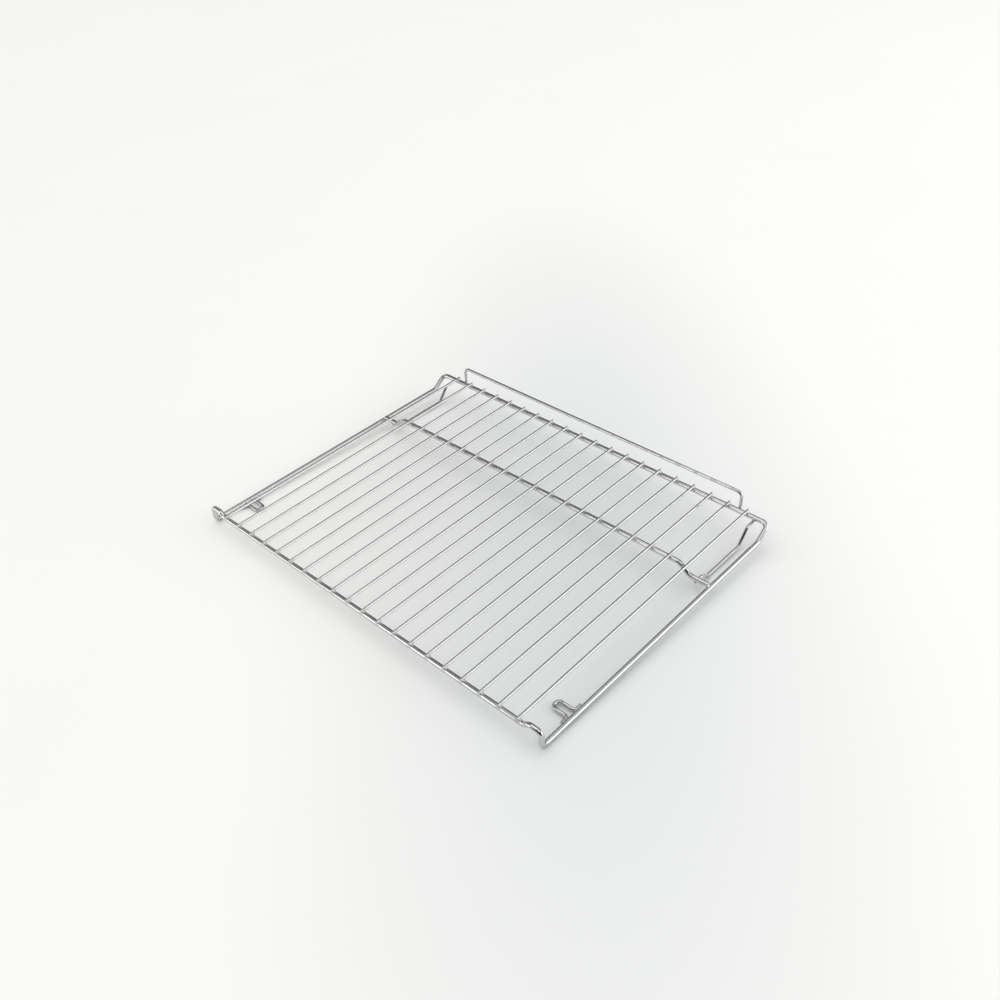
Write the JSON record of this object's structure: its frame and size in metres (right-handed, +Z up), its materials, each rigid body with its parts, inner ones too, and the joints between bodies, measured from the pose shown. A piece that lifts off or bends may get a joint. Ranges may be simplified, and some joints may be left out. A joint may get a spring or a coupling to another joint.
{
  "type": "oven shelf rack",
  "caption": "Wire oven shelf with a closed bent-rod frame, a grid of straight wires, a crossbar, an upright back stop, small front stop loops and hanging rear guide wires.",
  "frame": {"origin": "middle of the shelf, midway between the front and rear rails, on the level of the lowest wires", "axes": "+X to the right across the oven, +Y towards the back of the oven, +Z up"},
  "size_m": [0.4744, 0.3605, 0.0452],
  "materials": {
    "plated_wire": "bright plated steel wire"
  },
  "bodies": {
    "root": {"frame_rod": "plated_wire", "crossbar": "plated_wire", "back_stop": "plated_wire", "grid_wire_01": "plated_wire", "grid_wire_02": "plated_wire", "grid_wire_03": "plated_wire", "grid_wire_04": "plated_wire", "grid_wire_05": "plated_wire", "grid_wire_06": "plated_wire", "grid_wire_07": "plated_wire", "grid_wire_08": "plated_wire", "grid_wire_09": "plated_wire", "grid_wire_10": "plated_wire", "grid_wire_11": "plated_wire", "grid_wire_12": "plated_wire", "grid_wire_13": "plated_wire", "grid_wire_14": "plated_wire", "grid_wire_15": "plated_wire", "grid_wire_16": "plated_wire", "grid_wire_17": "plated_wire", "grid_wire_18": "plated_wire", "grid_wire_19": "plated_wire", "grid_wire_20": "plated_wire", "front_stop_left": "plated_wire", "front_stop_right": "plated_wire", "rear_guide_left": "plated_wire", "rear_guide_right": "plated_wire"}
  },
  "joints": []
}
